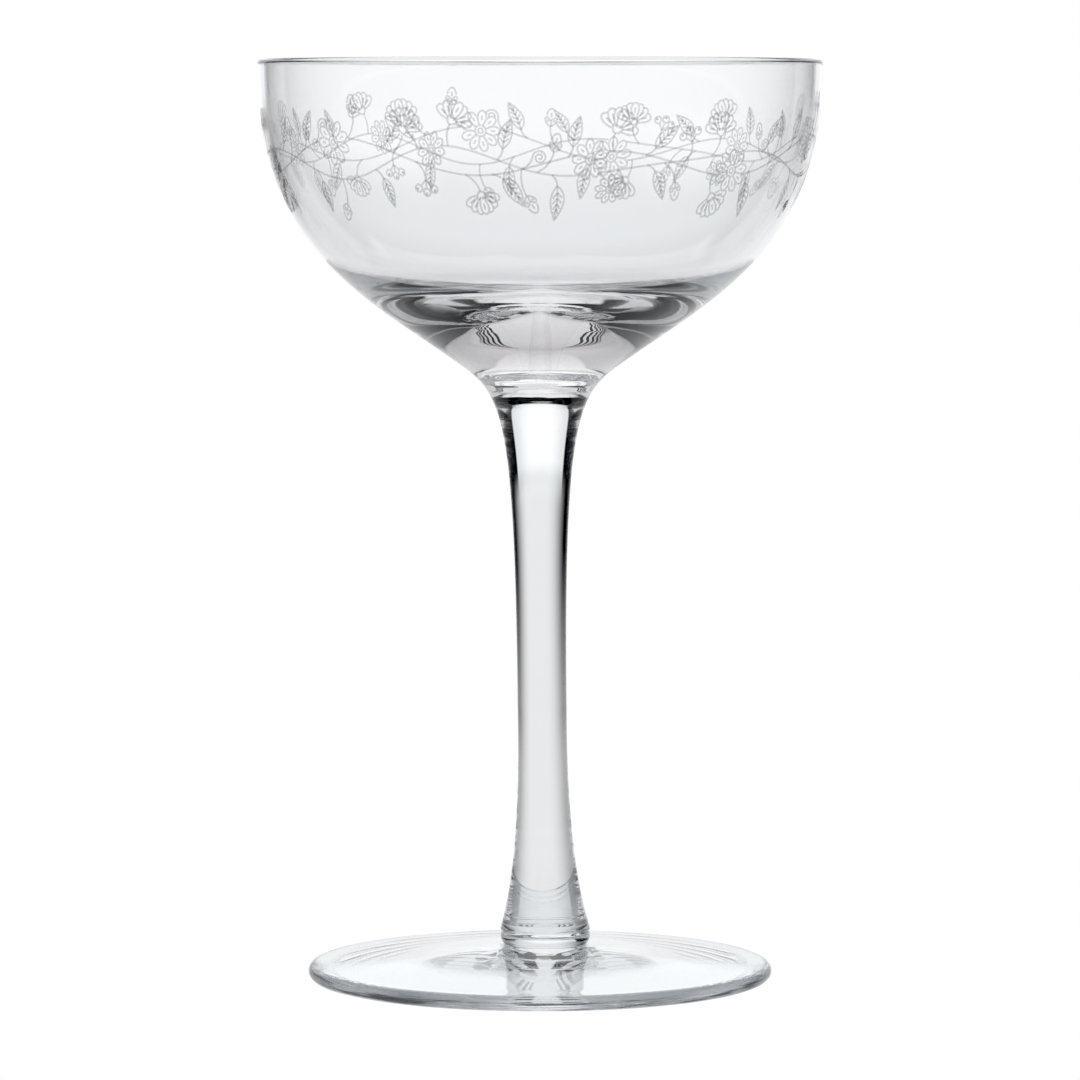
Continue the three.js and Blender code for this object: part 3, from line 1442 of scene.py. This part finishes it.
@dataclass
class EtchedBand:
    """The garland on the outside of the bowl: fine matt lines that follow the glass all the way round."""

    garland: Garland
    name: str = "etched_garland"
    repeats: int = 3
    start: float = -48.0 * MM
    line_width: float = 0.34 * MM
    line_depth: float = 0.05 * MM
    stagger: float = 0.003 * MM
    stagger_layers: int = 5
    stagger_stride: int = 7
    closed_gap: float = 1e-6
    outside: float = 0.2

    def build(self, bowl: Thing) -> Thing:
        """Wraps the garland round the bowl and keeps it as a plain mesh.

        Args:
            bowl: The built bowl that the lines lie on.

        Returns:
            The band, not yet dressed.
        """
        flat = self.flat()
        piece = shown(self.name, bpy.data.meshes.new(self.name))
        tree = bpy.data.node_groups.new(self.name, "GeometryNodeTree")
        sockets = self.inputs(tree)
        self.wrap(tree)
        modifier = piece.modifiers.new("wrap", "NODES")
        values = {
            "Flat": flat,
            "Bowl": bowl,
            "Repeats": self.repeats,
            "Length": self.garland.length * MM,
            "Start": self.start,
            "Width": self.line_width,
            "Depth": self.line_depth,
            "Outside": self.outside,
        }
        modifier.node_group = tree
        for label, value in values.items():
            modifier[sockets[label]] = value
        graph = bpy.context.evaluated_depsgraph_get()
        piece.data = bpy.data.meshes.new_from_object(piece.evaluated_get(graph), depsgraph=graph)
        piece.modifiers.clear()
        bpy.data.objects.remove(flat)
        work = bmesh.new()
        work.from_mesh(piece.data)
        bmesh.ops.recalc_face_normals(work, faces=work.faces)
        work.to_mesh(piece.data)
        work.free()
        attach(piece, Body.WHOLE.value)
        log.info("%s: %d faces", self.name, len(piece.data.polygons))
        return piece

    def dress(self, piece: Thing, frost: Material) -> None:
        """Gives the lines their matt finish."""
        piece.data.materials.append(frost)

    def flat(self) -> Thing:
        """One length of the garland as flat curves: along x, up y, and a hair apart in z.

        Returns:
            The curves.
        """
        data = bpy.data.curves.new("garland_lines", "CURVE")
        data.dimensions = "3D"
        level = self.garland.level * MM
        for i, stroke in enumerate(self.garland.drawn().strokes):
            closed = abs(stroke[0] - stroke[-1]) < self.closed_gap
            spots = stroke[:-1] if closed else stroke
            layer = (self.stagger_stride * i) % self.stagger_layers - self.stagger_layers // 2
            spline = data.splines.new("POLY")
            spline.points.add(len(spots) - 1)
            for point, spot in zip(spline.points, spots):
                point.co = (spot.real * MM, spot.imag * MM + level, self.stagger * layer, 1.0)
            spline.use_cyclic_u = closed
        return shown("garland_lines", data)

    def inputs(self, tree: bpy.types.NodeTree) -> dict[str, str]:
        """Gives the node tree its named inputs and its output.

        Args:
            tree: Empty geometry node tree.

        Returns:
            The identifier of each named input.
        """
        kinds = {"Flat": "Object", "Bowl": "Object", "Repeats": "Int"}
        kinds |= dict.fromkeys(("Length", "Start", "Width", "Depth", "Outside"), "Float")
        fresh = tree.interface.new_socket
        fresh("Geometry", in_out="INPUT", socket_type="NodeSocketGeometry")
        made = {
            label: fresh(label, in_out="INPUT", socket_type=f"NodeSocket{kind}").identifier
            for label, kind in kinds.items()
        }
        fresh("Geometry", in_out="OUTPUT", socket_type="NodeSocketGeometry")
        return made

    def wrap(self, tree: bpy.types.NodeTree) -> None:
        """Fills the node tree that repeats the length and lays it on the bowl.

        Args:
            tree: Geometry node tree with its inputs.
        """
        wiring = Wiring(tree)
        node, maths = wiring.node, wiring.maths
        given = node("NodeGroupInput").outputs
        flat = node("GeometryNodeObjectInfo", Object=given["Flat"])
        row = node(
            "GeometryNodeMeshLine",
            Count=given["Repeats"],
            Start_Location=wiring.triple(X=given["Start"]),
            Offset=wiring.triple(X=given["Length"]),
        )
        copies = node(
            "GeometryNodeInstanceOnPoints",
            Points=row.outputs["Mesh"],
            Instance=flat.outputs["Geometry"],
        )
        lines = node("GeometryNodeRealizeInstances", Geometry=copies.outputs["Instances"])
        level = node("GeometryNodeSetCurveNormal", Curve=lines.outputs["Geometry"])
        level.mode = "Z_UP"
        section = node(
            "GeometryNodeCurvePrimitiveQuadrilateral",
            Width=given["Width"],
            Height=given["Depth"],
        )
        solid = node(
            "GeometryNodeCurveToMesh",
            Curve=level.outputs["Curve"],
            Profile_Curve=section.outputs["Curve"],
            Fill_Caps=True,
        )
        spot = wiring.split(node("GeometryNodeInputPosition").outputs["Position"])
        round_length = maths("MULTIPLY", given["Length"], given["Repeats"])
        turn = maths("DIVIDE", maths("MULTIPLY", spot["X"], math.tau), round_length)
        front = maths("MULTIPLY", maths("COSINE", turn), -1.0)
        outwards = wiring.triple(X=maths("SINE", turn), Y=front)
        bowl = node("GeometryNodeObjectInfo", Object=given["Bowl"])
        ray = node(
            "GeometryNodeRaycast",
            Target_Geometry=bowl.outputs["Geometry"],
            Source_Position=wiring.shifted(wiring.triple(Z=spot["Y"]), outwards, given["Outside"]),
            Ray_Direction=wiring.vectors("MULTIPLY", outwards, (-1.0, -1.0, -1.0)),
            Ray_Length=given["Outside"],
        )
        hit, normal = ray.outputs["Hit Position"], ray.outputs["Hit Normal"]
        laid = node(
            "GeometryNodeSetPosition",
            Geometry=solid.outputs["Mesh"],
            Position=wiring.shifted(hit, normal, spot["Z"]),
        )
        whole = node("GeometryNodeRealizeInstances", Geometry=laid.outputs["Geometry"])
        node("NodeGroupOutput", Geometry=whole.outputs["Geometry"])


@dataclass(frozen=True)
class Panel:
    """A patch of light or dark on the light tent, as seen from the glass.

    Angles are in degrees. Azimuth 0 is straight behind the glass and 180 is behind the camera.
    """

    name: str
    azimuth: float
    half_width: float
    low: float
    high: float
    light: Colour
    side_blur: float
    level_blur: float


@dataclass(frozen=True)
class Pane:
    """A clear pane across the view, from one edge to another, each at a distance behind and a height."""

    half_width: float
    first: Span
    last: Span

    def corners(self) -> list[Triple]:
        """The four corners in order."""
        sides = (-1.0, self.first), (1.0, self.first), (1.0, self.last), (-1.0, self.last)
        return [(side * self.half_width, *edge) for side, edge in sides]


@dataclass
class Studio:
    """White table and surround, and a light tent that turns with the camera as on a turntable shoot."""

    camera_distance: float = 1.0995
    eye_height: float = 0.1653
    pitch: float = 4.723
    lens: float = 217.8
    sensor: float = 36.0
    most_bounces: int = 96
    glass_bounces: int = 64
    clear_bounces: int = 32
    black_level: Colour = (0.035, 0.035, 0.035)
    tent_radius: float = 0.6
    tent_height: float = 0.103
    tent_segments: int = 96
    table_radius: float = 0.4
    table_drop: float = 0.1 * MM
    panels: tuple[Panel, ...] = (
        Panel("table_sides", 0.0, 181.0, -90.0, -10.0, (0.50, 0.51, 0.52), 1.0, 6.0),
        Panel("table_middle", 4.0, 32.0, -90.0, 0.5, (0.915, 0.925, 0.93), 21.0, 2.0),
        Panel("backdrop", 0.0, 33.0, -0.2, 60.0, (0.84, 0.86, 0.88), 1.5, 2.8),
        Panel("backdrop_middle", 0.0, 20.0, -0.1, 60.0, (1.13, 1.14, 1.15), 11.0, 2.9),
        Panel("overhead", 0.0, 45.0, 38.0, 78.0, (1.0, 1.0, 1.0), 3.0, 3.0),
        Panel("front_fill", 180.0, 50.0, -40.0, 50.0, (0.02, 0.02, 0.022), 10.0, 8.0),
    )
    dark: Colour = (0.002, 0.003, 0.004)
    near_table: Colour = (0.90, 0.905, 0.915)
    far_table: Colour = (0.30, 0.32, 0.34)
    deep_light: Colour = (0.36, 0.38, 0.40)
    deep_turns: Span = (5.0, 12.0)
    card: Colour = (0.02, 0.02, 0.025)
    card_fall: Span = (-0.05, -0.07)
    card_behind: Span = (0.76, 0.88)
    card_aside: float = 150.0 * MM
    card_ratio: float = 1.36
    card_edge: float = 0.2
    card_count: float = 6.0
    first_card: float = -0.5
    least_fall: float = 0.001
    slat_count: float = 11.0
    slat_edge: float = 0.25
    slat_gap: Colour = (0.80, 0.81, 0.83)
    slat_share: float = 0.9
    panes: tuple[Pane, ...] = (
        Pane(35.0 * MM, (55.0 * MM, 70.0 * MM), (55.0 * MM, 106.0 * MM)),
        Pane(50.0 * MM, (-50.0 * MM, 98.0 * MM), (50.0 * MM, 98.0 * MM)),
        Pane(50.0 * MM, (50.0 * MM, -30.0 * MM), (50.0 * MM, 12.0 * MM)),
    )

    def build(self) -> None:
        """Makes the camera, the surround, the table and the light tent with its panes."""
        scene = bpy.context.scene
        scene.view_settings.view_transform = "Standard"
        scene.view_settings.look = "None"
        scene.view_settings.use_curve_mapping = True
        scene.view_settings.curve_mapping.black_level = self.black_level
        scene.cycles.max_bounces = self.most_bounces
        scene.cycles.transmission_bounces = self.glass_bounces
        scene.cycles.glossy_bounces = self.glass_bounces
        scene.cycles.transparent_max_bounces = self.clear_bounces
        camera = self.camera()
        self.surround()
        self.table()
        for rig in (self.tent(), self.marks()):
            self.follow(rig, camera)

    def camera(self) -> Thing:
        """The camera at the photograph's place and angle.

        Returns:
            The camera.
        """
        data = bpy.data.cameras.new("camera")
        data.lens = self.lens
        data.sensor_width = self.sensor
        camera = shown("camera", data)
        camera.location = (0.0, -self.camera_distance, self.eye_height)
        camera.rotation_euler = (math.radians(90.0 - self.pitch), 0.0, 0.0)
        bpy.context.scene.camera = camera
        return camera

    def surround(self) -> None:
        """A plain white surround behind everything."""
        world = bpy.data.worlds.new("white_surround")
        world.use_nodes = True
        world.node_tree.nodes["Background"].inputs["Color"].default_value = WHITE
        bpy.context.scene.world = world

    def table(self) -> None:
        """A round white light table under the foot."""
        mesh = bpy.data.meshes.new("light_table")
        work = bmesh.new()
        bmesh.ops.create_circle(work, cap_ends=True, segments=self.tent_segments, radius=self.table_radius)
        work.to_mesh(mesh)
        work.free()
        mesh.transform(Matrix.Translation((0.0, 0.0, -self.table_drop)))
        made, glow = bare("light_table", Shader.GLOW)
        glow.inputs["Color"].default_value = WHITE
        mesh.materials.append(made)
        table = shown("light_table", mesh)
        table.visible_transmission = False
        table.visible_glossy = False
        table.visible_diffuse = False

    def tent(self) -> Thing:
        """The light tent round the glass, which the camera looks into through its wall.

        Returns:
            The tent.
        """
        mesh = bpy.data.meshes.new("light_tent")
        work = bmesh.new()
        count = self.tent_segments
        bmesh.ops.create_uvsphere(work, u_segments=count, v_segments=count // 2, radius=self.tent_radius)
        for face in work.faces:
            face.smooth = True
        work.to_mesh(mesh)
        work.free()
        made, glow = bare("light_tent", Shader.GLOW)
        wiring = Wiring(made.node_tree)
        wiring.feed(glow.inputs["Color"], self.painted(wiring))
        mesh.materials.append(made)
        tent = shown("light_tent", mesh)
        tent.location = (0.0, 0.0, self.tent_height)
        return tent

    def marks(self) -> Thing:
        """Clear panes under and behind the glass, which mark the light that meets the dark cards.

        Returns:
            The panes.
        """
        mesh = bpy.data.meshes.new("clear_pane")
        corners = [corner for pane in self.panes for corner in pane.corners()]
        mesh.from_pydata(corners, [], [range(i, i + 4) for i in range(0, len(corners), 4)])
        mesh.materials.append(bare("clear_pane", Shader.CLEAR)[0])
        return shown("clear_pane", mesh)

    def follow(self, rig: Thing, camera: Thing) -> None:
        """Lets a piece of the light rig turn with the camera, unseen by it.

        Args:
            rig: Piece of the light rig, about the glass's axis.
            camera: Camera that it turns with.
        """
        rig.visible_camera = False
        turn = rig.constraints.new("COPY_ROTATION")
        turn.target = camera
        turn.use_x = False
        turn.use_y = False

    def painted(self, wiring: Wiring) -> Socket:
        """Paints the panels over the dark room, one after another, and lays the cards on top.

        Args:
            wiring: Helper for the tent's material.

        Returns:
            The socket that holds the light of each direction.
        """
        maths = wiring.maths
        where = wiring.node("ShaderNodeTexCoord").outputs["Object"]
        axes = wiring.split(wiring.vectors("NORMALIZE", where))
        azimuth = maths("DEGREES", maths("ARCTAN2", axes["X"], axes["Y"]))
        level = maths("DEGREES", maths("ARCSINE", axes["Z"]))
        light = self.dark
        for panel in self.panels:
            away = maths("WRAP", maths("SUBTRACT", azimuth, panel.azimuth), 180.0, -180.0)
            half, blur, level_blur = panel.half_width, panel.side_blur, panel.level_blur
            aside = wiring.step(maths("ABSOLUTE", away), half + blur, half - blur)
            below = wiring.step(level, panel.low - level_blur, panel.low + level_blur)
            above = wiring.step(level, panel.high + level_blur, panel.high - level_blur)
            light = wiring.blend("MIX", wiring.product(aside, below, above), light, panel.light)
            light.node.label = panel.name
        return self.carded(wiring, light, axes)

    def carded(self, wiring: Wiring, light: Socket, axes: Sockets) -> Socket:
        """Sets up dark cards and slats, which only light turned inside the marked glass meets.

        Args:
            wiring: Helper for the tent's material.
            light: Light painted so far.
            axes: The direction from the middle of the tent.

        Returns:
            The light with the cards and slats.
        """
        maths = wiring.maths
        path = wiring.node("ShaderNodeLightPath").outputs
        turns = path["Glossy Depth"]
        # Light that enters and leaves the glass once, is turned inside it and passes a pane. Its counts are
        # whole numbers, so each test lies half way between two of them.
        half, in_and_out = 0.5, 2.0
        inner = wiring.product(
            maths("GREATER_THAN", turns, half),
            maths("COMPARE", path["Transmission Depth"], in_and_out, half),
            maths("GREATER_THAN", path["Transparent Depth"], half),
        )
        slats = maths("COSINE", maths("MULTIPLY", axes["X"], self.slat_count))
        gaps = wiring.step(slats, -self.slat_edge, self.slat_edge)
        slatted = wiring.blend("MIX", gaps, self.card, self.slat_gap)
        again = wiring.product(inner, maths("GREATER_THAN", turns, 1.0 + half), self.slat_share)
        light = wiring.blend("MIX", again, light, slatted)
        low = wiring.step(axes["Z"], *self.card_fall)
        behind = wiring.step(axes["Y"], *self.card_behind)
        light = wiring.blend("MIX", wiring.product(inner, low, behind), light, self.cards(wiring, axes))
        return wiring.blend("LIGHTEN", wiring.step(turns, *self.deep_turns), light, self.deep_light)

    def cards(self, wiring: Wiring, axes: Sockets) -> Socket:
        """The table with dark cards on both sides of the glass, ever wider further out.

        Args:
            wiring: Helper for the tent's material.
            axes: The direction from the middle of the tent.

        Returns:
            The socket with the light of the table.
        """
        maths = wiring.maths
        fall = maths("MAXIMUM", maths("MULTIPLY", axes["Z"], -1.0), self.least_fall)
        aside = maths("DIVIDE", maths("MULTIPLY", maths("ABSOLUTE", axes["X"]), self.tent_height), fall)
        order = maths("LOGARITHM", maths("DIVIDE", aside, self.card_aside), self.card_ratio)
        wave = maths("COSINE", maths("MULTIPLY", order, math.tau))
        cover = wiring.step(wave, -self.card_edge, self.card_edge)
        beyond = maths("GREATER_THAN", order, self.first_card)
        distance = wiring.step(order, 0.0, self.card_count)
        table = wiring.blend("MIX", distance, self.near_table, self.far_table)
        return wiring.blend("MIX", wiring.product(cover, beyond), table, self.card)


def main() -> None:
    """Builds the studio, the three gathers of glass and the etched band."""
    logging.basicConfig(level=logging.INFO, format="%(name)s: %(message)s")
    Studio().build()
    levels = Levels.from_frame()
    neck = Neck(levels)
    glass = ClearGlass().material()
    joint = FusedJoint().material()
    stem = Stem("stem_glass", "stem", levels, neck=neck)
    bowl = Bowl("bowl_glass", "bowl", levels, neck=neck)
    foot = Foot("foot_glass", "foot", levels, stem=stem)
    for gather in (stem, foot):
        gather.dress(gather.build(), glass, joint)
    bowl_glass = bowl.build()
    bowl.dress(bowl_glass, glass, joint)
    band = EtchedBand(Garland())
    band.dress(band.build(bowl_glass), EtchedFrost().material())


if __name__ == "__main__":
    main()
